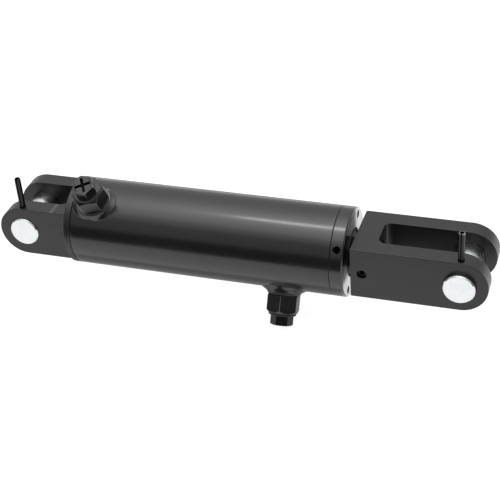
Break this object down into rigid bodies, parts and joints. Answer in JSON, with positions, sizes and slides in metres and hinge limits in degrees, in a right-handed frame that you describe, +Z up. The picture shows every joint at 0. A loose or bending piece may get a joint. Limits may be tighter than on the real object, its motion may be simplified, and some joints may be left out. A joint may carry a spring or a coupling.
{
  "type": "hydraulic cylinder",
  "caption": "Double-acting hydraulic cylinder with a welded black barrel, a sliding chromed rod, a fork clevis with pin at each end and two plugged oil ports.",
  "frame": {"origin": "centre of the base clevis pin, in the middle of the base clevis slot", "axes": "+X along the cylinder axis from the base clevis to the rod clevis; +Y along the clevis pins, away from the ends that the spring pins lock; +Z up, along the spring pins"},
  "size_m": [0.4056, 0.076, 0.121],
  "materials": {
    "barrel_paint": "black semi-gloss enamel with soft highlights",
    "clevis_paint": "black satin paint on milled steel",
    "gland_paint": "black gloss paint over fine turning marks",
    "adapter_paint": "black gloss paint on a steel hexagon",
    "zinc": "bright zinc plating, faint spangle",
    "black_steel": "black phosphate and oil, satin",
    "black_plastic": "moulded black plastic",
    "rubber": "matte black nitrile rubber",
    "guide_polymer": "filled acetal guide ring, matte",
    "seal_polymer": "blue polyurethane seal, satin",
    "hard_chrome": "ground and polished hard chrome",
    "bare_steel": "turned bright steel, oiled"
  },
  "bodies": {
    "cylinder": {"barrel_tube": "barrel_paint", "base_clevis": "clevis_paint", "base_port_boss": "barrel_paint", "base_port_adapter": "adapter_paint", "base_port_seal_washer": "black_steel", "base_port_plug": "black_plastic", "rod_port_boss": "barrel_paint", "rod_port_adapter": "adapter_paint", "rod_port_seal_washer": "black_steel", "rod_port_plug": "black_plastic", "gland": "gland_paint", "gland_o_ring": "rubber", "gland_backup_ring": "guide_polymer", "rod_guide_ring_inner": "guide_polymer", "rod_guide_ring_outer": "guide_polymer", "rod_seal": "seal_polymer", "rod_wiper": "rubber"},
    "piston_rings": {"piston_seal": "rubber", "piston_guide_ring_rear": "guide_polymer", "piston_guide_ring_front": "guide_polymer"},
    "rod": {"piston_rod": "hard_chrome", "piston": "bare_steel", "piston_o_ring": "rubber", "piston_nut": "bare_steel", "rod_clevis": "clevis_paint", "clevis_set_screw": "black_steel"},
    "base_pin": {"base_clevis_pin": "zinc"},
    "base_lock": {"base_spring_pin": "black_steel"},
    "rod_pin": {"rod_clevis_pin": "zinc"},
    "rod_lock": {"rod_spring_pin": "black_steel"}
  },
  "joints": [
    {"name": "rod_extend", "type": "slide", "parent": "cylinder", "child": "piston_rings", "axis": [1, 0, 0], "range_m": [0, 0.11]},
    {"name": "rod_turn", "type": "hinge", "parent": "piston_rings", "child": "rod", "pos_m": [0.25, 0, 0], "axis": [1, 0, 0], "continuous": true},
    {"name": "base_pin_draw", "type": "slide", "parent": "cylinder", "child": "base_pin", "axis": [0, -1, 0], "range_m": [0, 0.062]},
    {"name": "rod_pin_draw", "type": "slide", "parent": "rod", "child": "rod_pin", "axis": [0, -1, 0], "range_m": [0, 0.062]},
    {"name": "base_lock_drive", "type": "slide", "parent": "cylinder", "child": "base_lock", "axis": [0, 0, 1], "range_m": [-0.03, 0.012]},
    {"name": "rod_lock_drive", "type": "slide", "parent": "rod", "child": "rod_lock", "axis": [0, 0, 1], "range_m": [-0.03, 0.012]}
  ]
}
